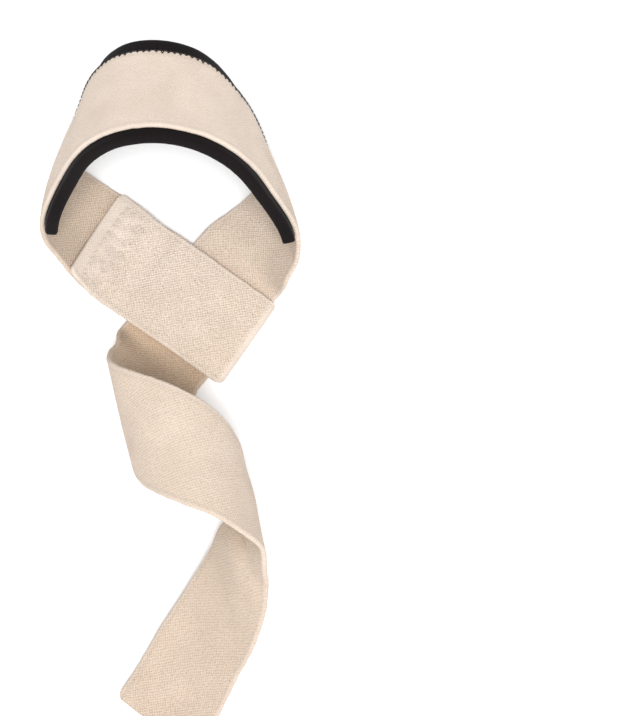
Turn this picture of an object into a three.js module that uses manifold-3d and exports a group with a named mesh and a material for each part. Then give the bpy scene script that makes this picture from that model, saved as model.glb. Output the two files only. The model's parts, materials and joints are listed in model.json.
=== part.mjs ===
// Lifting strap: one length of cotton webbing, sewn back on itself at one end, with its own tail passed
// between the two layers of that end so that it closes into a wrist loop, and a foam pad sewn in the loop.
// It lies on a table: the sewn end flat, the wrist loop arching up and leaning back, the tail curling
// away over itself and down again to its cut end, which touches the table with its left edge.

import * as THREE from 'three';
import Module from 'manifold-3d';
import { mergeVertices } from 'three/addons/utils/BufferGeometryUtils.js';

const wasm = await Module();
wasm.setup();

// Webbing, millimetres
const webbingWidth = 38;
const webbingThickness = 2;
const webbingEdgeRound = 0.6;
const layerGap = 0.3;

// Wrist loop: how far it spreads sideways, back from the crossing, and up
const loopSpan = 84;
const loopReach = 80;
const loopRise = 66;

// Sewn end: where it folds back, beyond the tail's edge, how far the cut end lies up the loop from there,
// and the length next to that cut end where the two layers are sewn together, by a patch inside its edges
const foldMargin = 0.5;
const sewnReach = 52;
const seamLength = 24;
const patchInset = 3;

// Tail: how far it spreads sideways, forward from the crossing, and up
const tailSpan = 54;
const tailReach = 154;
const tailRise = 52;

// Pad
const padThickness = 5;
const padFrontOverhang = 2.6;
const padBackOverhang = 7;
const padLength = 160;
const padOffset = 3.5;
const padEdgeRound = 1.2;
const padGap = 0.3;

// Mesh fineness: millimetres along the strap, rows of faces across it and faces round the fold
const stepAlong = 4;
const facesAcross = 6;
const facesRoundFold = 8;
const shortestStep = 0.5;
const placeStep = 0.05;

// The sewn end, the tail and the folded-back layer lie on each other at the crossing, in this order
const layerPitch = webbingThickness + layerGap;
const bottomHeight = webbingThickness / 2;
const middleHeight = bottomHeight + layerPitch;

// Level directions, in degrees from +X: where the sewn end and the tail each head at the crossing
const sewnHeading = 145;
const tailHeading = 229;
const levelReach = webbingWidth * 0.6;

// Sections of the wrist loop after it leaves the sewn end, and before it reaches the crossing again.
// side, reach and rise are shares of loopSpan, loopReach and loopRise from the crossing on the table.
// turn and lift aim the line across the webbing, towards its back edge, and bow is how far the middle
// of that line stands out of the loop, as a share of webbingWidth.
const loopSections = [
  { side: -0.325, reach: 0.235, rise: 0.05, turn: 55, lift: -1, bow: 0.04 },
  { side: -0.43, reach: 0.325, rise: 0.085, turn: 57, lift: -14, bow: 0.07 },
  { side: -0.535, reach: 0.425, rise: 0.14, turn: 62, lift: -28, bow: 0.06 },
  { side: -0.62, reach: 0.515, rise: 0.235, turn: 70, lift: -36, bow: 0.05 },
  { side: -0.625, reach: 0.61, rise: 0.385, turn: 75, lift: -37, bow: 0.05 },
  { side: -0.555, reach: 0.755, rise: 0.58, turn: 78, lift: -37, bow: 0.03 },
  { side: -0.455, reach: 0.89, rise: 0.815, turn: 83, lift: -36, bow: 0 },
  { side: -0.315, reach: 0.96, rise: 0.96, turn: 87, lift: -37, bow: -0.01 },
  { side: -0.135, reach: 0.975, rise: 1, turn: 89, lift: -39, bow: -0.02 },
  { side: 0.055, reach: 0.935, rise: 0.91, turn: 93, lift: -40, bow: -0.01 },
  { side: 0.205, reach: 0.83, rise: 0.73, turn: 99, lift: -43, bow: -0.01 },
  { side: 0.315, reach: 0.67, rise: 0.485, turn: 105, lift: -43, bow: 0.02 },
  { side: 0.37, reach: 0.52, rise: 0.285, turn: 115, lift: -43, bow: 0.05 },
  { side: 0.335, reach: 0.4, rise: 0.175, turn: 126, lift: -34, bow: 0.06 },
  { side: 0.255, reach: 0.3, rise: 0.12, turn: 132, lift: -21, bow: 0.06 },
];

// Sections of the tail after the crossing, in shares of tailSpan, tailReach and tailRise.
const tailSections = [
  { side: -0.36, reach: -0.17, rise: 0.18, turn: 130, lift: 7, bow: 0.02 },
  { side: -0.445, reach: -0.2, rise: 0.29, turn: 121, lift: 14, bow: 0.03 },
  { side: -0.505, reach: -0.235, rise: 0.48, turn: 105, lift: 22, bow: 0.04 },
  { side: -0.425, reach: -0.265, rise: 0.7, turn: 90, lift: 17, bow: 0.06 },
  { side: -0.25, reach: -0.3, rise: 0.885, turn: 75, lift: 2, bow: 0.08 },
  { side: -0.025, reach: -0.34, rise: 0.97, turn: 66, lift: -20, bow: 0.06 },
  { side: 0.195, reach: -0.395, rise: 0.925, turn: 74, lift: -42, bow: 0.07 },
  { side: 0.33, reach: -0.46, rise: 0.775, turn: 93, lift: -55, bow: 0.06 },
  { side: 0.405, reach: -0.505, rise: 0.635, turn: 106, lift: -58, bow: 0 },
  { side: 0.42, reach: -0.56, rise: 0.52, turn: 107, lift: -55, bow: -0.13 },
  { side: 0.345, reach: -0.595, rise: 0.43, turn: 123, lift: -41, bow: -0.18 },
  { side: 0.275, reach: -0.665, rise: 0.36, turn: 127, lift: -33, bow: -0.1 },
  { side: 0.165, reach: -0.745, rise: 0.27, turn: 129, lift: -25, bow: 0 },
  { side: 0.045, reach: -0.815, rise: 0.205, turn: 132, lift: -22, bow: 0.02 },
  { side: -0.06, reach: -0.88, rise: 0.16, turn: 137, lift: -19, bow: 0.02 },
  { side: -0.18, reach: -0.955, rise: 0.12, turn: 142, lift: -15, bow: 0.02 },
  { side: -0.32, reach: -1.03, rise: 0.105, turn: 144, lift: -13, bow: 0 },
];

// Small vector helpers
const degree = Math.PI / 180;

function heading(turn, lift = 0) {
  const flat = Math.cos(lift * degree);
  return new THREE.Vector3(
    flat * Math.cos(turn * degree), flat * Math.sin(turn * degree), Math.sin(lift * degree));
}

function onTable(direction, distance, height) {
  return direction.clone().multiplyScalar(distance).setZ(height);
}

// A section on the table level, at a distance from the crossing, lying across its own heading
function levelSection(turn, distance, height) {
  return {
    point: onTable(heading(turn), distance, height),
    across: heading(turn - 90),
    bow: 0,
    travel: heading(turn),
  };
}

function raisedSection(row, span, reach, rise) {
  return {
    point: new THREE.Vector3(row.side * span, row.reach * reach, bottomHeight + row.rise * rise),
    across: heading(row.turn, row.lift),
    bow: row.bow,
  };
}

// Every section is three kinds of value in one list, so that they are smoothed along the strap together:
// the middle of the line across (3), the direction of that line (3) and its bow (1)
function sectionValues(section) {
  return [...section.point.toArray(), ...section.across.toArray(), section.bow];
}

// How fast the values change along the strap at a section: known where it lies level at the crossing,
// and taken from the neighbouring sections elsewhere
function sectionSlopes(sections, values, reached, index) {
  const { travel } = sections[index];
  if (travel) {
    return [...travel.toArray(), 0, 0, 0, 0];
  }
  const before = Math.max(index - 1, 0);
  const after = Math.min(index + 1, sections.length - 1);
  return values[index].map((_, part) =>
    (values[after][part] - values[before][part]) / (reached[after] - reached[before]));
}

// A cubic from one section to the next, with the slopes at both ends
function blend(start, end, startSlope, endSlope, length, share) {
  const square = share * share;
  const cube = square * share;
  return start.map((value, part) =>
    value * (2 * cube - 3 * square + 1)
    + startSlope[part] * length * (cube - 2 * square + share)
    + end[part] * (3 * square - 2 * cube)
    + endSlope[part] * length * (cube - square));
}

// The strap's middle surface as close-set sections, each with its distance along the strap
function smoothSections(sections) {
  const values = sections.map(sectionValues);
  const reached = [0];
  for (let index = 1; index < sections.length; index += 1) {
    reached.push(reached[index - 1] + sections[index].point.distanceTo(sections[index - 1].point));
  }
  const slopes = sections.map((_, index) => sectionSlopes(sections, values, reached, index));
  const smooth = [];
  for (let index = 0; index < sections.length - 1; index += 1) {
    const length = reached[index + 1] - reached[index];
    const steps = Math.max(1, Math.round(length / stepAlong));
    const last = index === sections.length - 2 ? steps : steps - 1;
    for (let step = 0; step <= last; step += 1) {
      const row = blend(
        values[index], values[index + 1], slopes[index], slopes[index + 1], length, step / steps);
      smooth.push({
        point: new THREE.Vector3(row[0], row[1], row[2]),
        across: new THREE.Vector3(row[3], row[4], row[5]).normalize(),
        bow: row[6],
      });
    }
  }
  return measured(smooth);
}

// Adds to each section its distance along the strap and the direction that faces out of the loop
function measured(sections) {
  let distance = 0;
  return sections.map((section, index) => {
    const before = sections[Math.max(index - 1, 0)].point;
    const after = sections[Math.min(index + 1, sections.length - 1)].point;
    const travel = after.clone().sub(before).normalize();
    if (index > 0) {
      distance += section.point.distanceTo(before);
    }
    const out = travel.clone().cross(section.across);
    const slant = out.length();
    return { ...section, distance, slant, out: out.normalize() };
  });
}

// The part of a strap between two distances along it, with a section exactly at each of them
function stretch(sections, start, end) {
  const sectionAt = (distance) => {
    const after = sections.findIndex((section) => section.distance >= distance);
    const before = Math.max(after - 1, 0);
    const [near, far] = [sections[before], sections[after]];
    const share = (distance - near.distance) / (far.distance - near.distance || 1);
    return {
      point: near.point.clone().lerp(far.point, share),
      across: near.across.clone().lerp(far.across, share).normalize(),
      bow: THREE.MathUtils.lerp(near.bow, far.bow, share),
    };
  };
  const between = sections.filter((section) =>
    section.distance > start + shortestStep && section.distance < end - shortestStep);
  return measured([sectionAt(start), ...between, sectionAt(end)]);
}

// A point of the middle surface, at a place across the webbing from -1, the front edge, to 1, the back
function surfacePoint(section, place) {
  const reach = (webbingWidth / 2) * place / section.slant;
  const bow = section.bow * webbingWidth * (1 - place * place);
  return section.point.clone()
    .addScaledVector(section.across, reach)
    .addScaledVector(section.out, bow);
}

function surfaceOut(sections, index, place) {
  const before = surfacePoint(sections[Math.max(index - 1, 0)], place);
  const after = surfacePoint(sections[Math.min(index + 1, sections.length - 1)], place);
  const along = after.sub(before);
  const across = surfacePoint(sections[index], place + placeStep)
    .sub(surfacePoint(sections[index], place - placeStep));
  return along.cross(across).normalize();
}

// The outline of a flat band's cross-section, from its front edge to its back edge: places across it
// and heights out of its middle surface
function bandOutline(front, back, thickness, edgeRound) {
  const outer = [];
  for (let face = 0; face <= facesAcross; face += 1) {
    const side = THREE.MathUtils.lerp(front + edgeRound, back - edgeRound, face / facesAcross);
    outer.push({ side, height: thickness / 2 });
  }
  const inner = outer.map((corner) => ({ side: corner.side, height: -thickness / 2 })).reverse();
  return [...outer, { side: back, height: 0 }, ...inner, { side: front, height: 0 }];
}

// Closes one end of a band with faces between its outer and inner corners
function endFaces(first, flip) {
  const corners = facesAcross + 1;
  const outer = (index) => first + index;
  const inner = (index) => first + 2 * corners - index;
  const faces = [];
  for (let index = 0; index < facesAcross; index += 1) {
    faces.push([outer(index), outer(index + 1), inner(index + 1)]);
    faces.push([outer(index), inner(index + 1), inner(index)]);
  }
  faces.push([outer(facesAcross), first + corners, inner(facesAcross)]);
  faces.push([inner(0), first + 2 * corners + 1, outer(0)]);
  return flip ? faces.map(([a, b, c]) => [a, c, b]) : faces;
}

// A closed band lofted along sections. shift moves it out of the middle surface, or in if negative.
function bandGeometry(sections, front, back, thickness, edgeRound, shift = 0) {
  const outline = bandOutline(front, back, thickness, edgeRound);
  const positions = [];
  sections.forEach((section, index) => {
    for (const corner of outline) {
      const place = corner.side / (webbingWidth / 2);
      const point = surfacePoint(section, place)
        .addScaledVector(surfaceOut(sections, index, place), corner.height + shift);
      positions.push(point.x, point.y, point.z);
    }
  });
  const ring = outline.length;
  const faces = endFaces(0, false);
  for (let index = 0; index < sections.length - 1; index += 1) {
    for (let corner = 0; corner < ring; corner += 1) {
      const next = (corner + 1) % ring;
      const near = index * ring;
      const far = near + ring;
      faces.push([near + corner, far + next, near + next]);
      faces.push([near + corner, far + corner, far + next]);
    }
  }
  faces.push(...endFaces((sections.length - 1) * ring, true));
  const geometry = new THREE.BufferGeometry();
  geometry.setAttribute('position', new THREE.Float32BufferAttribute(positions, 3));
  geometry.setIndex(faces.flat());
  return geometry;
}

function toSolid(geometry) {
  const merged = mergeVertices(geometry);
  return new wasm.Manifold(new wasm.Mesh({
    numProp: 3,
    vertProperties: new Float32Array(merged.attributes.position.array),
    triVerts: new Uint32Array(merged.index.array),
  }));
}

// Joins two closed shapes into one
function joined(first, second) {
  const mesh = toSolid(first).add(toSolid(second)).getMesh();
  const geometry = new THREE.BufferGeometry();
  geometry.setAttribute('position', new THREE.BufferAttribute(mesh.vertProperties, 3));
  geometry.setIndex(new THREE.BufferAttribute(mesh.triVerts, 1));
  return geometry;
}

// The route from the fold, round the loop, through the crossing and along the tail
const foldDistance = webbingWidth / 2 + foldMargin;
const route = smoothSections([
  levelSection(sewnHeading, -foldDistance, bottomHeight),
  levelSection(sewnHeading, levelReach, bottomHeight),
  ...loopSections.map((row) => raisedSection(row, loopSpan, loopReach, loopRise)),
  levelSection(tailHeading, -levelReach, middleHeight),
  levelSection(tailHeading, levelReach, middleHeight),
  ...tailSections.map((row) => raisedSection(row, tailSpan, tailReach, tailRise)),
]);

// The folded-back layer lies over the tail at the crossing, then down on the layer that it is sewn to
const seamStart = foldDistance + sewnReach - seamLength;
const seamEnd = foldDistance + sewnReach;

function foldedLift(distance) {
  const levelEnd = foldDistance + levelReach;
  const share = THREE.MathUtils.smoothstep(distance, levelEnd, seamStart);
  return layerPitch * (2 - share);
}

const foldedLayer = stretch(route, 0, seamEnd)
  .map((section) => ({
    point: section.point.clone().addScaledVector(section.out, -foldedLift(section.distance)),
    across: section.across,
    bow: -section.bow,
  }))
  .reverse();

const foldTurns = [];
for (let face = 1; face < facesRoundFold; face += 1) {
  const angle = Math.PI * face / facesRoundFold;
  const distance = -foldDistance - layerPitch * Math.sin(angle);
  foldTurns.push(
    levelSection(sewnHeading, distance, middleHeight + layerPitch * Math.cos(angle)));
}

const strapSections = measured([...foldedLayer, ...foldTurns, ...route]);
const webbingEdge = webbingWidth / 2;
const strapBand = bandGeometry(
  strapSections, -webbingEdge, webbingEdge, webbingThickness, webbingEdgeRound);

// The stitched patch that holds the folded-back layer to the one under it
const patchSections = stretch(route, seamStart + patchInset, seamEnd - patchInset);
const patchBand = bandGeometry(
  patchSections, patchInset - webbingEdge, webbingEdge - patchInset,
  layerGap + webbingThickness / 2, layerGap / 2, -layerPitch / 2);

// The pad lies inside the loop, with its middle a little past the loop's highest point
const loopTop = route
  .filter((section) => section.point.y > 0)
  .reduce((highest, section) => (section.point.z > highest.point.z ? section : highest));
const padMiddle = loopTop.distance + padOffset;
const padSections = stretch(route, padMiddle - padLength / 2, padMiddle + padLength / 2);
const padDepth = -(webbingThickness / 2 + padGap + padThickness / 2);
const padBand = bandGeometry(
  padSections, -webbingEdge - padFrontOverhang, webbingEdge + padBackOverhang, padThickness,
  padEdgeRound, padDepth);

// Materials
const cotton = new THREE.MeshStandardMaterial({ color: 0xe8d8c6, roughness: 0.92, metalness: 0 });
const blackFabric = new THREE.MeshStandardMaterial({ color: 0x211d1e, roughness: 0.85, metalness: 0 });

function part(name, geometry, material) {
  const mesh = new THREE.Mesh(geometry, material);
  mesh.name = name;
  return mesh;
}

const strap = new THREE.Group();
strap.add(part('webbing_strap', joined(strapBand, patchBand), cotton));
strap.add(part('neoprene_pad', padBand, blackFabric));

// The origin is on the table, under the middle of the whole strap
const middle = new THREE.Box3().setFromObject(strap).getCenter(new THREE.Vector3());
strap.position.set(-middle.x, -middle.y, 0);

export default strap;
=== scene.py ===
import json
import math

import bpy
import numpy as np
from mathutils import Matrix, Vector


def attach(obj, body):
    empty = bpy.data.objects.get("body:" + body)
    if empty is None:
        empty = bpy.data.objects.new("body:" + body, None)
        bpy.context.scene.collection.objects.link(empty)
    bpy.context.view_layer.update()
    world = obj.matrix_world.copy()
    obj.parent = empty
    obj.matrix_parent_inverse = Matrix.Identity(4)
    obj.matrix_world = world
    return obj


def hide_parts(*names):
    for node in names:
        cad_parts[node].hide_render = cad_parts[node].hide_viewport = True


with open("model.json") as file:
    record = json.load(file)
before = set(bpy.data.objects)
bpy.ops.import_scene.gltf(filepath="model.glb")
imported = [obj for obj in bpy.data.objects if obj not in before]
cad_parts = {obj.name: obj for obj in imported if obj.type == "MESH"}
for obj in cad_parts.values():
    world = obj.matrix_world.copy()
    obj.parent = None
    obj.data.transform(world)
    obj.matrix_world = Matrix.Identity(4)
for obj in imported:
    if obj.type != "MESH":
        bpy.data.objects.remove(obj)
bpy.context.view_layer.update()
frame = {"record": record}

# Sizes in millimetres, the same as the solids were made from
WIDTH = 38.0
THICKNESS = 2.0
LAYER_GAP = 0.3
LOOP_SPAN, LOOP_REACH, LOOP_RISE = 84.0, 80.0, 66.0
FOLD_MARGIN, SEWN_REACH, SEAM_LENGTH = 0.5, 52.0, 24.0
TAIL_SPAN, TAIL_REACH, TAIL_RISE = 54.0, 154.0, 52.0
PAD_THICKNESS = 5.0
PAD_LENGTH = 160.0
PAD_FRONT_OVERHANG = 2.6
PAD_BACK_OVERHANG = 7.0
PAD_OFFSET = 3.5

# Headings of the sewn end and of the tail where they cross, in degrees seen from above
SEWN_HEADING = 145.0
TAIL_HEADING = 229.0

# What follows from the sizes: heights of the layers at the crossing, and distances from it
HALF_WIDTH = WIDTH / 2
HALF_THICKNESS = THICKNESS / 2
PITCH = THICKNESS + LAYER_GAP
BOTTOM = HALF_THICKNESS
MIDDLE = BOTTOM + PITCH
LEVEL_REACH = WIDTH * 0.6
FOLD_DISTANCE = HALF_WIDTH + FOLD_MARGIN
SEAM_END = FOLD_DISTANCE + SEWN_REACH
SEAM_START = SEAM_END - SEAM_LENGTH

# Sizes of the dressed strap alone, in millimetres. The pad lies closer to the webbing than in the solids,
# and the folded-back layer comes down to the lower one between the two distances of its descent
ROW_STEP = 0.8
FOLD_FACES = 14
PAD_GAP = 0.15
DESCENT_START = FOLD_DISTANCE + HALF_WIDTH + 0.5
DESCENT_END = SEAM_START + 6

MM = 0.001

# Lines across the strap where it isn't level, the same as in the solids. Each row gives the line's middle as
# shares of the span, reach and rise, its turn and lift in degrees, and its bow as a share of the width
LOOP_SECTIONS = [
    (-0.325, 0.235, 0.05, 55, -1, 0.04),
    (-0.43, 0.325, 0.085, 57, -14, 0.07),
    (-0.535, 0.425, 0.14, 62, -28, 0.06),
    (-0.62, 0.515, 0.235, 70, -36, 0.05),
    (-0.625, 0.61, 0.385, 75, -37, 0.05),
    (-0.555, 0.755, 0.58, 78, -37, 0.03),
    (-0.455, 0.89, 0.815, 83, -36, 0),
    (-0.315, 0.96, 0.96, 87, -37, -0.01),
    (-0.135, 0.975, 1, 89, -39, -0.02),
    (0.055, 0.935, 0.91, 93, -40, -0.01),
    (0.205, 0.83, 0.73, 99, -43, -0.01),
    (0.315, 0.67, 0.485, 105, -43, 0.02),
    (0.37, 0.52, 0.285, 115, -43, 0.05),
    (0.335, 0.4, 0.175, 126, -34, 0.06),
    (0.255, 0.3, 0.12, 132, -21, 0.06),
]
TAIL_SECTIONS = [
    (-0.36, -0.17, 0.18, 130, 7, 0.02),
    (-0.445, -0.2, 0.29, 121, 14, 0.03),
    (-0.505, -0.235, 0.48, 105, 22, 0.04),
    (-0.425, -0.265, 0.7, 90, 17, 0.06),
    (-0.25, -0.3, 0.885, 75, 2, 0.08),
    (-0.025, -0.34, 0.97, 66, -20, 0.06),
    (0.195, -0.395, 0.925, 74, -42, 0.07),
    (0.33, -0.46, 0.775, 93, -55, 0.06),
    (0.405, -0.505, 0.635, 106, -58, 0),
    (0.42, -0.56, 0.52, 107, -55, -0.13),
    (0.345, -0.595, 0.43, 123, -41, -0.18),
    (0.275, -0.665, 0.36, 127, -33, -0.1),
    (0.165, -0.745, 0.27, 129, -25, 0),
    (0.045, -0.815, 0.205, 132, -22, 0.02),
    (-0.06, -0.88, 0.16, 137, -19, 0.02),
    (-0.18, -0.955, 0.12, 142, -15, 0.02),
    (-0.32, -1.03, 0.105, 144, -13, 0),
]

# Where the crossing lies in the part's frame, from the mount under it
rest = next(m for m in frame["record"]["mounts"] if m["name"] == "rest")
CROSSING = np.array(rest["pos_m"]) / MM
CROSSING[2] = 0.0


# The strap's middle surface
def heading(turn, lift=0.0):
    """The direction at turn degrees seen from above, and lift degrees above level."""
    turn, lift = math.radians(turn), math.radians(lift)
    flat = math.cos(lift)
    return np.array([flat * math.cos(turn), flat * math.sin(turn), math.sin(lift)])


def level(turn, distance, height):
    """A level line across the strap, where it runs straight along turn through the crossing."""
    point = heading(turn) * distance
    point[2] = height
    return {"values": np.array([*point, *heading(turn - 90), 0.0]), "travel": heading(turn)}


def raised(row, span, reach, rise):
    """A line across the strap from a row of a table."""
    side, along, up, turn, lift, bow = row
    values = np.array([side * span, along * reach, BOTTOM + up * rise, *heading(turn, lift), bow])
    return {"values": values, "travel": None}


def travelled(points):
    """How far along a line of points each one lies."""
    return np.r_[0, np.cumsum(np.linalg.norm(np.diff(points, axis=0), axis=1))]


def smooth(sections, step):
    """Rows of point (3), direction across (3) and bow, about a step apart, on curves through sections."""
    values = np.array([section["values"] for section in sections])
    reached = travelled(values[:, :3])
    slopes = []
    for i, section in enumerate(sections):
        if section["travel"] is not None:
            slopes.append(np.r_[section["travel"], 0, 0, 0, 0])
            continue
        before, after = max(i - 1, 0), min(i + 1, len(sections) - 1)
        slopes.append((values[after] - values[before]) / (reached[after] - reached[before]))
    rows = []
    for i in range(len(sections) - 1):
        length = reached[i + 1] - reached[i]
        steps = max(1, round(length / step))
        for k in range(steps):
            s = k / steps
            s2, s3 = s * s, s * s * s
            rows.append(
                values[i] * (2 * s3 - 3 * s2 + 1) + slopes[i] * length * (s3 - 2 * s2 + s)
                + values[i + 1] * (3 * s2 - 2 * s3) + slopes[i + 1] * length * (s3 - s2))
    rows.append(values[-1])
    return np.array(rows)


def unit(vectors):
    return vectors / np.maximum(np.linalg.norm(vectors, axis=-1, keepdims=True), 1e-12)


class Run:
    """A length of the strap: rows of point, direction across and bow, with what follows from them."""

    def __init__(self, rows):
        self.point = rows[:, :3]
        self.across = unit(rows[:, 3:6])
        self.bow = rows[:, 6]
        self.distance = travelled(self.point)
        order = np.arange(len(rows))
        before = np.maximum(order - 1, 0)
        after = np.minimum(order + 1, len(rows) - 1)
        travel = unit(self.point[after] - self.point[before])
        out = np.cross(travel, self.across)
        # A line that crosses the strap at a slant is longer than the width
        self.slant = np.linalg.norm(out, axis=1)
        self.out = unit(out)

    def surface(self, places):
        """Points of the middle surface at places across, -1 the front edge to 1 the back edge. The places
        are one list for all rows, or a list for each."""
        places = np.atleast_2d(places)
        reach = (HALF_WIDTH / self.slant)[:, None] * places
        bow = self.bow[:, None] * WIDTH * (1 - places ** 2)
        return (self.point[:, None, :] + self.across[:, None, :] * reach[..., None]
                + self.out[:, None, :] * bow[..., None])

    def rows(self):
        return np.c_[self.point, self.across, self.bow]

    def part(self, start, end):
        """The rows between two distances along the run, as a run of their own."""
        keep = (self.distance >= start - 1e-6) & (self.distance <= end + 1e-6)
        return Run(self.rows()[keep])


def surface_normals(grid):
    """Unit normals out of a grid of surface points, rows along and columns across."""
    return unit(np.cross(np.gradient(grid, axis=0), np.gradient(grid, axis=1)))


def eased(share):
    """Turns a share from 0 to 1 into one that starts and ends gently."""
    return share * share * (3 - 2 * share)


def folded_rows():
    """The folded-back layer, from its cut end to the fold. It lies two layers above the lower one where the
    tail passes between them, and one layer above it next to its cut end."""
    under = route.part(0, SEAM_END)
    down = eased(np.clip((under.distance - DESCENT_START) / (DESCENT_END - DESCENT_START), 0, 1))
    lift = PITCH * (2 - down)
    return np.c_[under.point - under.out * lift[:, None], under.across, -under.bow][::-1]


def turned_rows():
    """The turn at the fold, from the folded-back layer down to the lower one."""
    rows = []
    for face in range(1, FOLD_FACES):
        angle = math.pi * face / FOLD_FACES
        distance = -FOLD_DISTANCE - PITCH * math.sin(angle)
        rows.append(level(SEWN_HEADING, distance, MIDDLE + PITCH * math.cos(angle))["values"])
    return np.array(rows)


# The route runs from the fold under the crossing, round the loop, through the crossing and along the tail
route = Run(smooth([
    level(SEWN_HEADING, -FOLD_DISTANCE, BOTTOM),
    level(SEWN_HEADING, LEVEL_REACH, BOTTOM),
    *[raised(row, LOOP_SPAN, LOOP_REACH, LOOP_RISE) for row in LOOP_SECTIONS],
    level(TAIL_HEADING, -LEVEL_REACH, MIDDLE),
    level(TAIL_HEADING, LEVEL_REACH, MIDDLE),
    *[raised(row, TAIL_SPAN, TAIL_REACH, TAIL_RISE) for row in TAIL_SECTIONS],
], ROW_STEP))

# The whole strap runs from the folded-back layer's cut end to the tail's
folded = folded_rows()
strap = Run(np.vstack([folded, turned_rows(), route.rows()]))
FOLD_AT = strap.distance[len(folded) + FOLD_FACES // 2 - 1]
TOTAL_LENGTH = strap.distance[-1]


# Repeatable unevenness
def scattered(seed, i, j=0.0):
    """A value from -1 to 1 for a whole number, or for two."""
    value = np.sin(i * 127.1 + j * 269.5 + seed * 311.7) * 43758.5453
    return 2 * (value - np.floor(value)) - 1


def noise1(x, seed):
    """Smooth noise from -1 to 1 along x."""
    base = np.floor(x)
    share = eased(x - base)
    return scattered(seed, base) * (1 - share) + scattered(seed, base + 1) * share


def noise2(x, y, seed):
    """Smooth noise from -1 to 1 over a plane."""
    base_x, base_y = np.floor(x), np.floor(y)
    share_x, share_y = eased(x - base_x), eased(y - base_y)
    first = scattered(seed, base_x, base_y) * (1 - share_x) + scattered(seed, base_x + 1, base_y) * share_x
    base_y = base_y + 1
    second = scattered(seed, base_x, base_y) * (1 - share_x) + scattered(seed, base_x + 1, base_y) * share_x
    return first * (1 - share_y) + second * share_y


def ripples(distance, side, height, long, wide, seed, apart=0):
    """Unevenness of up to height, its humps about long by wide. Another apart gives other humps."""
    return height * noise2(distance / long, side / wide + apart, seed)


def dip(x, middle, half):
    """1 at the middle, and next to nothing beyond twice half away from it."""
    return np.exp(-((x - middle) / half) ** 2)


def ramp(amount, over):
    """Grows evenly from 0, for an amount of 0 or less, to 1 for over or more."""
    return np.clip(amount / over, 0, 1)


# Meshes
UV_NAME = "UVMap"
TEXTURE_SCALE = 0.01
EDGE_REACH = 3.0
NORMAL_COLUMNS = 41


def make_object(name, points, faces, uvs=None):
    """A smooth-shaded object of points in metres, with a texture place for each point if given."""
    mesh = bpy.data.meshes.new(name)
    mesh.from_pydata([tuple(p) for p in points], [], [tuple(f) for f in faces])
    mesh.update()
    if uvs is not None:
        layer = mesh.uv_layers.new(name=UV_NAME)
        corners = np.empty(len(mesh.loops), np.int32)
        mesh.loops.foreach_get("vertex_index", corners)
        layer.data.foreach_set("uv", np.asarray(uvs, np.float32)[corners].ravel())
    mesh.polygons.foreach_set("use_smooth", [True] * len(mesh.polygons))
    obj = bpy.data.objects.new(name, mesh)
    bpy.context.scene.collection.objects.link(obj)
    return obj


class Ring:
    """A band cut across, as a ring of points: outer columns, back arc, inner columns, front arc."""

    def __init__(self, front, back, thickness, columns, arc, square=1.0):
        """front and back are millimetres across the strap. A square below 1 makes the edges less round."""
        self.front, self.back = front, back
        self.half = thickness / 2
        self.columns, self.arc = columns, arc
        sides = np.linspace(front + self.half, back - self.half, columns)
        angles = math.pi * np.arange(1, arc + 1) / (arc + 1)
        out = np.sin(angles) ** square * thickness / 2
        up = np.sign(np.cos(angles)) * np.abs(np.cos(angles)) ** square * thickness / 2
        flat = np.full(columns, self.half)
        self.side = np.concatenate([sides, back - self.half + out, sides[::-1], front + self.half - out])
        self.height = np.concatenate([flat, up, -flat, -up])
        self.count = len(self.side)

    def end_faces(self):
        """Faces over one end of the band: strips between its two faces, and one for each arc."""
        columns, arc = self.columns, self.arc
        last_inner = 2 * columns + arc - 1
        faces = []
        for j in range(columns - 1):
            faces.append((j, j + 1, last_inner - j - 1, last_inner - j))
        faces.append(tuple(range(columns - 1, columns + arc + 1)))
        faces.append((last_inner, *range(last_inner + 1, self.count), 0))
        return faces


def band_faces(rows, ring):
    """Faces round a band of rings, then over its two ends."""
    faces = []
    for row in range(rows - 1):
        near, far = row * ring.count, (row + 1) * ring.count
        for j in range(ring.count):
            k = (j + 1) % ring.count
            faces.append((near + j, far + j, far + k, near + k))
    ends = ring.end_faces()
    last = (rows - 1) * ring.count
    return faces + ends + [tuple(last + j for j in reversed(face)) for face in ends]


def flat_places(run, ring):
    """Where each point of a band lies on the flat strap: millimetres along it, and millimetres across."""
    return np.repeat(run.distance, ring.count), np.tile(ring.side, len(run.distance))


def band_normals(run, ring, places):
    """Normals of the middle surface at a band's places, mixed from those at evenly spaced columns."""
    first = min(ring.front, -HALF_WIDTH) / HALF_WIDTH
    last = max(ring.back, HALF_WIDTH) / HALF_WIDTH
    columns = np.linspace(first, last, NORMAL_COLUMNS)
    normals = surface_normals(run.surface(columns))
    position = (places - columns[0]) / (columns[1] - columns[0])
    low = np.clip(np.floor(position).astype(int), 0, NORMAL_COLUMNS - 2)
    share = (position - low)[..., None]
    row = np.arange(len(run.point))[:, None]
    return unit(normals[row, low] * (1 - share) + normals[row, low + 1] * share)


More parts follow.
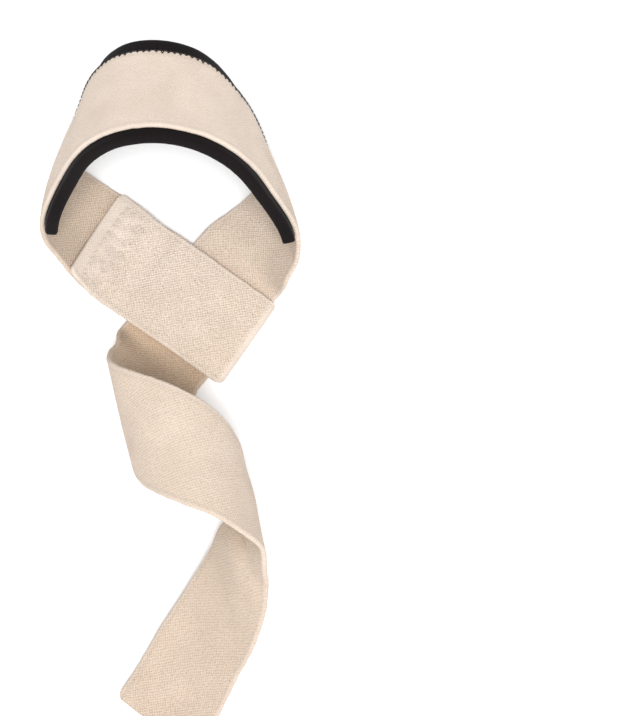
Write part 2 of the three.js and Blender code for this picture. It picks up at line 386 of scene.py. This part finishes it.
def band(name, run, ring, relief, shift=0.0, edge=None):
    """A closed band along a run, shift out of its middle surface and nowhere below the table.
    relief(distance, side, face) is a height out of the outer face, 1, and the inner one, -1.
    edge(distance, which) moves the front edge, -1, and the back one, 1, outwards."""
    side = np.repeat(ring.side[None, :], len(run.point), axis=0)
    if edge is not None:
        for which, limit in ((-1, ring.front), (1, ring.back)):
            near = np.clip(1 - np.abs(ring.side - limit) / EDGE_REACH, 0, 1)
            side += which * edge(run.distance, which)[:, None] * near[None, :]
    places = side / HALF_WIDTH
    height = np.repeat(ring.height[None, :], len(run.point), axis=0)
    face = np.sign(height)
    fullness = np.clip(np.abs(height) / ring.half, 0, 1)
    height = height + relief(run.distance[:, None], side, face) * fullness * face
    points = run.surface(places) + band_normals(run, ring, places) * (height + shift)[..., None]
    points = (points.reshape(-1, 3) + CROSSING) * MM
    points[:, 2] = np.maximum(points[:, 2], 0.0)
    uvs = np.stack(flat_places(run, ring), axis=-1) * TEXTURE_SCALE
    return make_object(name, points, band_faces(len(run.point), ring), uvs)


# The webbing. Its seam is a box of stitches on the folded-back layer: two rows across it at these distances
# from the cut end, joined this far either side of its middle. The wrinkles lie between two distances
ROW_NEAR, ROW_FAR = 5.0, 13.0
SEAM_SIDE = 15.5
WRINKLES_START, WRINKLES_END = 2, 19
GROOVE_SIDE = 17.2
SELVEDGE_SIDE = 16.9
FOLD_HALF = 2.4


def webbing_relief(distance, side, face):
    """Creases, a groove beside each selvedge, and the hollows and wrinkles that the seam pulls into the
    folded-back layer."""
    from_middle = np.abs(side)
    outer = face > 0
    crease = ripples(distance, side, height=0.07, long=9.0, wide=7.0, seed=3, apart=40 * face)
    crease += ripples(distance, side, height=0.035, long=3.1, wide=2.6, seed=5, apart=40 * face)
    groove = 0.16 * dip(from_middle, GROOVE_SIDE, half=0.5)
    inside = ramp(SEAM_SIDE + 0.5 - from_middle, over=0.8) * outer
    rows = dip(distance, ROW_NEAR, half=0.9) + 0.35 * dip(distance, ROW_FAR, half=1.4)
    between = (distance > ROW_NEAR) & (distance < ROW_FAR)
    sides = dip(from_middle, SEAM_SIDE, half=0.9) * between * outer
    puckers = 1 + 0.5 * np.sin(side * 2.1)
    patch = ramp(distance - WRINKLES_START, over=3) * ramp(WRINKLES_END - distance, over=5) * inside
    wrinkles = ripples(distance, side, height=0.2, long=2.8, wide=2.1, seed=17) * patch
    return crease - groove + wrinkles - 0.2 * rows * inside * puckers - 0.16 * sides


def rounding(away, depth, reach):
    """How far an edge draws in at a corner, away from its tip."""
    return depth * np.clip(1 - away / reach, 0, 1) ** 2


def webbing_edge(distance, which):
    """How far an edge wanders outwards, less the rounding of its corners at the fold and the cut ends."""
    wander = 0.14 * noise1(distance / 2.3, 7 + which) + 0.14 * noise1(distance / 11.0, 9 + which)
    fold = rounding(np.abs(distance - FOLD_AT), depth=1.5, reach=3.4)
    start = rounding(distance, depth=1.6, reach=2.6)
    finish = rounding(TOTAL_LENGTH - distance, depth=1.9, reach=3.0)
    return wander - fold - start - finish


webbing_ring = Ring(-HALF_WIDTH, HALF_WIDTH, THICKNESS, columns=44, arc=5)
webbing = band("webbing", strap, webbing_ring, webbing_relief, edge=webbing_edge)

# What the cloth is like at marks in millimetres along the strap from the folded-back layer's cut end.
# It is paler and smoother next to that end
PALE_MARKS = [(0, 0.8), (4.2, 0.75), (5.6, 0.45), (11, 0.35), (14.5, 0)]
# The weave shows most on the folded-back layer and the loop's legs, and least on the arch
WEAVE_MARKS = [
    (0, 0.95), (80, 0.95), (110, 0.9), (150, 0.85), (185, 0.35), (215, 0.35), (290, 0.4),
    (315, 0.7), (360, 0.9), (420, 0.8), (450, 0.6), (500, 0.55), (540, 0.75), (625, 0.8),
]
# The cloth has yellowed with handling: the loop's legs, the tail's last run, and most the tail's start
# Darker, yellower cloth at marks along the strap: painted shade on the loop's legs inside the loop and,
# most, on the tail's start under the sewn end, and a darker tone on the tail's runs
TONE_AND_PAINTED_SHADE_MARKS = [
    (0, 0.0), (30, 0.05), (95, 0.3), (125, 0.65), (160, 0.65), (190, 0.0), (300, 0.0), (335, 0.25),
    (365, 0.4), (390, 0.8), (400, 1.25), (425, 1.05), (440, 0.3), (505, 0.3), (545, 0.5), (625, 0.55),
]


def at_marks(along, marks):
    distances, values = zip(*marks)
    return np.interp(along, distances, values)


def add_value(obj, name, values):
    """A number for each point of an object, that its material reads."""
    layer = obj.data.attributes.new(name, "FLOAT", "POINT")
    layer.data.foreach_set("value", np.asarray(values, np.float32))


def mark_webbing():
    """Gives the webbing's material how pale and woven it is, its painted shade and darker tone along the
    strap, and its relief, which it paints as shade in the hollows and as highlight on the ridges. The
    selvedges and the fold are pale too."""
    along, side = flat_places(strap, webbing_ring)
    selvedge = ramp(np.abs(side) - SELVEDGE_SIDE, over=0.8) * 0.35
    fold = np.clip(1 - (np.abs(along - FOLD_AT) - FOLD_HALF) / 0.8, 0, 1) * 0.8
    add_value(webbing, "pale", np.maximum(np.maximum(selvedge, at_marks(along, PALE_MARKS)), fold))
    around = np.arange(webbing_ring.count)
    face = np.tile(np.where(around < webbing_ring.columns, 1, -1), len(strap.distance))
    # The relief's height, which the material paints as shade in hollows and highlight on ridges
    add_value(webbing, "rise", webbing_relief(along, side, face))
    add_value(webbing, "weave", at_marks(along, WEAVE_MARKS))
    # Painted shade, with a darker tone on the tail's runs, that the material darkens the cloth by
    add_value(webbing, "tone_and_painted_shade", at_marks(along, TONE_AND_PAINTED_SHADE_MARKS))


mark_webbing()

# The pad, its middle a little past the top of the loop
PAD_SHIFT = -(HALF_THICKNESS + PAD_GAP + PAD_THICKNESS / 2)
PAD_SEAM_SIDE = 17.6
loop_heights = np.where(route.point[:, 1] > 0, route.point[:, 2], -1)
pad_middle = route.distance[int(np.argmax(loop_heights))] + PAD_OFFSET
pad_start = pad_middle - PAD_LENGTH / 2
pad_end = pad_middle + PAD_LENGTH / 2


def pad_relief(distance, side, face):
    """Soft unevenness, a squeezed line under each edge seam, and rounded ends."""
    quilt = ripples(distance, side, height=0.14, long=14.0, wide=11.0, seed=11, apart=50 * face)
    quilt += ripples(distance, side, height=0.05, long=4.0, wide=3.0, seed=13, apart=50 * face)
    lines = dip(side, PAD_SEAM_SIDE, half=1.3) + dip(side, -PAD_SEAM_SIDE, half=1.3)
    seam = 0.5 * lines * (face < 0)
    end = np.maximum(np.minimum(distance, PAD_LENGTH - distance), 0)
    return quilt - seam - 0.35 * np.exp(-end / 0.5)


pad_ring = Ring(
    -HALF_WIDTH - PAD_FRONT_OVERHANG, HALF_WIDTH + PAD_BACK_OVERHANG, PAD_THICKNESS,
    columns=52, arc=11, square=0.5)
pad = band("pad", route.part(pad_start, pad_end), pad_ring, pad_relief, shift=PAD_SHIFT)


# Stitches
class Skin:
    """Finds points over a run, given millimetres along it, across it, and out of its middle surface."""

    LIMIT = 1.5
    COLUMNS = 60

    def __init__(self, run):
        self.run = run
        self.grid = run.surface(np.linspace(-self.LIMIT, self.LIMIT, self.COLUMNS + 1))
        self.normals = surface_normals(self.grid)

    def at(self, distance, side, height):
        rows = len(self.run.point)
        row = np.clip(np.interp(distance, self.run.distance, np.arange(rows)), 0, rows - 1.001)
        column = (side / HALF_WIDTH + self.LIMIT) / (2 * self.LIMIT / self.COLUMNS)
        column = np.clip(column, 0, self.COLUMNS - 0.001)
        i, j = row.astype(int), column.astype(int)
        u, v = (row - i)[..., None], (column - j)[..., None]

        def mixed(table):
            near = table[i, j] * (1 - v) + table[i, j + 1] * v
            far = table[i + 1, j] * (1 - v) + table[i + 1, j + 1] * v
            return near * (1 - u) + far * u
        return mixed(self.grid) + unit(mixed(self.normals)) * height[..., None]


THREAD_SIDES = 6
THREAD_END = 0.6
NEARLY_UP = np.array([0.3, 0.2, 0.93])


def threads(name, paths, radius):
    """Round threads along short paths of points, thinner and closed at both ends, as one object."""
    points, faces, uvs = [], [], []
    angles = [2 * math.pi * s / THREAD_SIDES for s in range(THREAD_SIDES)]
    for path in paths:
        travel = unit(np.gradient(path, axis=0))
        up = unit(np.cross(travel, np.cross(NEARLY_UP, travel)))
        right = np.cross(travel, up)
        first = len(points)
        last = len(path) - 1
        for k in range(len(path)):
            thin = THREAD_END if k in (0, last) else 1.0
            for s, angle in enumerate(angles):
                out = up[k] * math.cos(angle) + right[k] * math.sin(angle)
                points.append(path[k] + out * radius * thin)
                uvs.append((k * 0.005, s / THREAD_SIDES * 0.02))
        for k in range(last):
            a, b = first + k * THREAD_SIDES, first + (k + 1) * THREAD_SIDES
            for s in range(THREAD_SIDES):
                following = (s + 1) % THREAD_SIDES
                faces.append((a + s, a + following, b + following, b + s))
        faces.append(tuple(first + s for s in reversed(range(THREAD_SIDES))))
        faces.append(tuple(first + last * THREAD_SIDES + s for s in range(THREAD_SIDES)))
    return make_object(name, (np.array(points) + CROSSING) * MM, faces, uvs)


# A straight stitch: places along it as shares of its length, heights in millimetres, and how far it strays
STITCH_PLACES = np.array([-0.5, -0.3, 0.0, 0.3, 0.5])
STITCH_HEIGHTS = np.array([-0.28, 0.05, 0.12, 0.05, -0.28])
STITCH_STRAY = 0.12


def stitch_row(skin, line, start, end, pitch, length, height, seed, lengthwise):
    """Straight stitches from start to end: lengthwise at a side of the strap, or across it at a distance."""
    paths = []
    for k in range(int((end - start) / pitch)):
        onward = start + (k + 0.5) * pitch + STITCH_PLACES * length
        aside = np.full(len(STITCH_PLACES), line + STITCH_STRAY * noise1(k * 1.7, seed))
        distance, side = (onward, aside) if lengthwise else (aside, onward)
        paths.append(skin.at(distance, side, height + STITCH_HEIGHTS))
    return paths


def seam_paths(skin):
    """The box of stitches on the folded-back layer."""
    paths = []
    for line in (ROW_NEAR, ROW_FAR):
        paths += stitch_row(
            skin, line, -SEAM_SIDE, SEAM_SIDE, pitch=2.9, length=2.3,
            height=HALF_THICKNESS - 0.12, seed=line, lengthwise=False)
    for line in (-SEAM_SIDE, SEAM_SIDE):
        paths += stitch_row(
            skin, line, ROW_NEAR, ROW_FAR, pitch=2.8, length=2.2,
            height=HALF_THICKNESS - 0.08, seed=line, lengthwise=True)
    return paths


# A leg of the zigzag: shares of its way along the strap, and heights in millimetres
ZIGZAG_PITCH = 2.3
ZIGZAG_MARGIN = 1.5
ZIGZAG_SHARES = np.array([0, 0.12, 0.3, 0.65, 1.0])
ZIGZAG_HEIGHTS = np.array([
    -HALF_THICKNESS - 0.05, -0.2, HALF_THICKNESS - 0.2, HALF_THICKNESS + 0.15, HALF_THICKNESS - 0.02])


def zigzag_paths(skin):
    """The pad's back seam: zigzag stitches over the back edge of the webbing."""
    paths = []
    for k in range(int((PAD_LENGTH - 2 * ZIGZAG_MARGIN) / ZIGZAG_PITCH)):
        base = pad_start + ZIGZAG_MARGIN + k * ZIGZAG_PITCH + 0.25 * noise1(k * 0.9, 21)
        deep = 1.35 * (1 + 0.3 * noise1(k * 1.3, 25))
        inner_at = base + ZIGZAG_PITCH / 2
        side = HALF_WIDTH + np.array([0.12, 0.1, -0.1, -0.55 * deep, -deep])
        for outer_at in (base + 0.05, base + ZIGZAG_PITCH - 0.05):
            distance = outer_at + (inner_at - outer_at) * ZIGZAG_SHARES
            paths.append(skin.at(distance, side, ZIGZAG_HEIGHTS))
    return paths


def inner_paths(skin):
    """The seams seen from inside the loop: a row of straight stitches near each edge of the pad."""
    inner_face = PAD_SHIFT - PAD_THICKNESS / 2
    paths = []
    for which in (-1, 1):
        paths += stitch_row(
            skin, which * PAD_SEAM_SIDE, pad_start + 2, pad_start + PAD_LENGTH - 2, pitch=2.9, length=2.2,
            height=inner_face + 0.34, seed=31 + which, lengthwise=True)
    return paths


route_skin = Skin(route)
seam_stitches = threads("seam_stitches", seam_paths(Skin(strap)), radius=0.27)
edge_stitches = threads("edge_stitches", zigzag_paths(route_skin), radius=0.27)
inner_stitches = threads("inner_stitches", inner_paths(route_skin), radius=0.25)

# Materials
MIX_FACTOR, MIX_FIRST, MIX_SECOND, MIX_RESULT = 0, 6, 7, 2


class Paint:
    """A new material, with short ways to add the nodes that make it."""

    def __init__(self, name):
        self.material = bpy.data.materials.new(name)
        self.material.use_nodes = True
        self.nodes = self.material.node_tree.nodes
        self.links = self.material.node_tree.links
        self.shader = self.nodes["Principled BSDF"]

    def feed(self, socket, value):
        """Sets a socket to a number or a colour, or links another node's output to it."""
        if isinstance(value, (int, float, tuple)):
            socket.default_value = value
        else:
            self.links.new(value, socket)

    def calc(self, operation, first, second=0.0, third=0.0):
        node = self.nodes.new("ShaderNodeMath")
        node.operation = operation
        for socket, value in zip(node.inputs, (first, second, third)):
            self.feed(socket, value)
        return node.outputs[0]

    def times(self, first, second):
        return self.calc("MULTIPLY", first, second)

    def plus(self, first, second):
        return self.calc("ADD", first, second)

    def scaled(self, value, factor, added):
        return self.calc("MULTIPLY_ADD", value, factor, added)

    def noise(self, place, scale, detail=2.0, roughness=0.5, output="Fac"):
        node = self.nodes.new("ShaderNodeTexNoise")
        node.inputs["Scale"].default_value = scale
        node.inputs["Detail"].default_value = detail
        node.inputs["Roughness"].default_value = roughness
        self.links.new(place, node.inputs["Vector"])
        return node.outputs[output]

    def attribute(self, name):
        node = self.nodes.new("ShaderNodeAttribute")
        node.attribute_name = name
        return node.outputs["Fac"]

    def flat_place(self):
        """The place on the flat cloth, in units of 1 / TEXTURE_SCALE millimetres."""
        node = self.nodes.new("ShaderNodeUVMap")
        node.uv_map = UV_NAME
        return node.outputs["UV"]

    def split(self, vector):
        """The first two numbers of a vector."""
        node = self.nodes.new("ShaderNodeSeparateXYZ")
        self.links.new(vector, node.inputs[0])
        return node.outputs[0], node.outputs[1]

    def ridges(self, place, spacing, sway=None):
        """A wave along the cloth, spacing millimetres from each ridge to the next hollow."""
        phase = self.times(place, math.pi * (1 / TEXTURE_SCALE) / spacing)
        if sway is not None:
            phase = self.plus(phase, sway)
        return self.calc("SINE", phase)

    def mixed(self, factor, first, second):
        node = self.nodes.new("ShaderNodeMix")
        node.data_type = "RGBA"
        self.feed(node.inputs[MIX_FACTOR], factor)
        self.feed(node.inputs[MIX_FIRST], first)
        self.feed(node.inputs[MIX_SECOND], second)
        return node.outputs[MIX_RESULT]

    def brightened(self, colour, factor):
        node = self.nodes.new("ShaderNodeVectorMath")
        node.operation = "SCALE"
        self.links.new(colour, node.inputs[0])
        self.links.new(factor, node.inputs["Scale"])
        return node.outputs[0]

    def bump(self, height, depth, strength):
        """Shades the surface as if it had a relief, depth in metres."""
        node = self.nodes.new("ShaderNodeBump")
        node.inputs["Distance"].default_value = depth
        node.inputs["Strength"].default_value = strength
        self.links.new(height, node.inputs["Height"])
        self.links.new(node.outputs[0], self.shader.inputs["Normal"])


COTTON_LIGHT = (0.69, 0.584, 0.498, 1)
COTTON_WARM = (0.60, 0.492, 0.40, 1)
COTTON_PALE = (0.68, 0.60, 0.53, 1)
# The colour of the painted shade and darker tone along the strap
COTTON_TONE_AND_PAINTED_SHADE = (0.42, 0.295, 0.19, 1)
PINHOLE = (0.30, 0.215, 0.14, 1)
YARN_SPACING = 0.66
YARN_SWAY = 5.0


def cotton_material():
    """Natural cotton webbing: a plain weave with uneven yarns and tone, and dark pinholes between some. Its
    colour also holds painted shade, most under the sewn end and inside the loop, and painted shade and
    highlight on its relief.
    """
    paint = Paint("cotton")
    flat = paint.flat_place()
    along, across = paint.split(flat)
    sway_along, sway_across = paint.split(paint.noise(flat, scale=28.0, output="Color"))
    warp = paint.ridges(along, YARN_SPACING, paint.times(sway_along, YARN_SWAY))
    weft = paint.ridges(across, YARN_SPACING, paint.times(sway_across, YARN_SWAY))
    checks = paint.times(warp, weft)
    pale = paint.attribute("pale")
    weave = paint.times(paint.attribute("weave"), paint.calc("SUBTRACT", 1.0, paint.times(pale, 0.75)))
    patches = paint.noise(flat, scale=9.0, detail=3.0)
    speckle = paint.noise(flat, scale=110.0, roughness=0.6)
    clouds = paint.noise(flat, scale=2.2)

    warmth = paint.scaled(patches, 0.9, paint.scaled(clouds, 0.6, -0.35))
    tone = paint.mixed(warmth, COTTON_LIGHT, COTTON_WARM)
    # Painted shade: darker and yellower on the loop's legs inside the loop and most on the tail's start
    # under the sewn end; a darker tone on the tail's runs
    tone = paint.mixed(paint.times(paint.attribute("tone_and_painted_shade"), 0.65), tone, COTTON_TONE_AND_PAINTED_SHADE)
    tone = paint.mixed(paint.times(pale, 0.6), tone, COTTON_PALE)

    woven_light = paint.times(paint.times(checks, weave), 0.16)
    speckle_light = paint.times(paint.calc("SUBTRACT", speckle, 0.5), paint.times(weave, 0.75))
    # Painted shade and highlight: the relief's hollows are painted darker and its ridges lighter
    painted_relief_shading = paint.scaled(paint.attribute("rise"), 0.5, 1.0)
    tone = paint.brightened(tone, paint.plus(paint.plus(woven_light, speckle_light), painted_relief_shading))

    sparse = paint.calc("GREATER_THAN", paint.noise(flat, scale=60.0, detail=1.0), 0.66)
    holes = paint.times(sparse, paint.calc("LESS_THAN", checks, -0.1))
    colour = paint.mixed(paint.times(paint.times(holes, weave), 0.4), tone, PINHOLE)
    paint.links.new(colour, paint.shader.inputs["Base Color"])

    woven_height = paint.times(checks, paint.times(weave, 0.5))
    speckle_height = paint.times(speckle, paint.scaled(weave, 0.9, 0.25))
    paint.bump(paint.plus(woven_height, speckle_height), depth=0.00035, strength=0.8)
    paint.shader.inputs["Roughness"].default_value = 0.95
    paint.shader.inputs["Sheen Weight"].default_value = 0.06
    paint.shader.inputs["Sheen Roughness"].default_value = 0.6
    paint.shader.inputs["Specular IOR Level"].default_value = 0.2
    return paint.material


BLACK_DARK = (0.0035, 0.0022, 0.0024, 1)
BLACK_LIGHT = (0.0105, 0.0072, 0.0078, 1)
KNIT_SPACING = 0.45


def black_fabric_material():
    """The pad's matte black knit."""
    paint = Paint("black_fabric")
    flat = paint.flat_place()
    along, across = paint.split(flat)
    knit = paint.times(paint.ridges(along, KNIT_SPACING), paint.ridges(across, KNIT_SPACING))
    nap = paint.noise(flat, scale=70.0, detail=3.0, roughness=0.6)
    shade = paint.noise(flat, scale=5.0)
    colour = paint.mixed(paint.scaled(nap, 0.5, paint.times(shade, 0.5)), BLACK_DARK, BLACK_LIGHT)
    paint.links.new(colour, paint.shader.inputs["Base Color"])
    paint.bump(paint.plus(paint.times(knit, 0.4), paint.times(nap, 0.8)), depth=0.00012, strength=0.6)
    paint.shader.inputs["Roughness"].default_value = 0.9
    paint.shader.inputs["Specular IOR Level"].default_value = 0.12
    paint.shader.inputs["Sheen Weight"].default_value = 0.04
    return paint.material


def thread_material(name, dark, light):
    """Thread, with its fine strands."""
    paint = Paint(name)
    place = paint.nodes.new("ShaderNodeNewGeometry")
    strands = paint.noise(place.outputs["Position"], scale=2600.0)
    paint.links.new(paint.mixed(strands, dark, light), paint.shader.inputs["Base Color"])
    paint.bump(strands, depth=0.0001, strength=0.5)
    paint.shader.inputs["Roughness"].default_value = 0.8
    return paint.material


def floor_material():
    """The plain white table."""
    paint = Paint("floor")
    paint.shader.inputs["Base Color"].default_value = (0.95, 0.95, 0.95, 1)
    paint.shader.inputs["Roughness"].default_value = 0.9
    return paint.material


cotton_thread = thread_material("cotton_thread", (0.50, 0.40, 0.31, 1), (0.82, 0.75, 0.66, 1))
black_thread = thread_material("black_thread", (0.006, 0.0045, 0.005, 1), (0.02, 0.016, 0.017, 1))

webbing.data.materials.append(cotton_material())
pad.data.materials.append(black_fabric_material())
seam_stitches.data.materials.append(cotton_thread)
edge_stitches.data.materials.append(black_thread)
inner_stitches.data.materials.append(black_thread)

for piece, slot in (
        (webbing, "cotton_webbing"), (seam_stitches, "cotton_webbing"),
        (pad, "black_pad"), (edge_stitches, "black_pad"), (inner_stitches, "black_pad")):
    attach(piece, "root")
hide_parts("webbing_strap")
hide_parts("neoprene_pad")

# The table, a square of twice this many metres
FLOOR_REACH = 3
floor_corners = [(x * FLOOR_REACH, y * FLOOR_REACH, 0) for x, y in ((-1, -1), (1, -1), (1, 1), (-1, 1))]
floor = make_object("floor", floor_corners, [(0, 1, 2, 3)])
floor.data.materials.append(floor_material())

# Light
world = bpy.data.worlds.new("World")
bpy.context.scene.world = world
world.use_nodes = True
background = world.node_tree.nodes["Background"]
background.inputs["Color"].default_value = (0.99, 0.995, 1, 1)
background.inputs["Strength"].default_value = 0.6


def soft_light(name, source, strength, spread):
    """A broad distant light that comes from the direction source, its spread in degrees."""
    data = bpy.data.lights.new(name, "SUN")
    data.energy = strength
    data.angle = math.radians(spread)
    obj = bpy.data.objects.new(name, data)
    obj.rotation_euler = Vector(source).to_track_quat("Z", "Y").to_euler()
    bpy.context.scene.collection.objects.link(obj)


soft_light("overhead", source=(0.05, -0.12, 1.0), strength=2.7, spread=22)
soft_light("front", source=(0.25, -1.0, 0.9), strength=0.55, spread=40)

# The camera looks straight down, as in the photo. The photo's middle is in millimetres from the crossing
CAMERA_HEIGHT = 0.9
PHOTO_MIDDLE = (44.6, -18.0)
PHOTO_PIXELS_HIGH = 716
PIXELS_PER_METRE = 2597.0
SENSOR = 36.0
camera_data = bpy.data.cameras.new("camera")
camera_data.sensor_width = SENSOR
camera_data.lens = SENSOR * CAMERA_HEIGHT * PIXELS_PER_METRE / PHOTO_PIXELS_HIGH
camera = bpy.data.objects.new("camera", camera_data)
camera_x, camera_y = (CROSSING[:2] + PHOTO_MIDDLE) * MM
camera.location = (camera_x, camera_y, CAMERA_HEIGHT)
bpy.context.scene.collection.objects.link(camera)
bpy.context.scene.camera = camera
bpy.context.scene.view_settings.view_transform = "Standard"
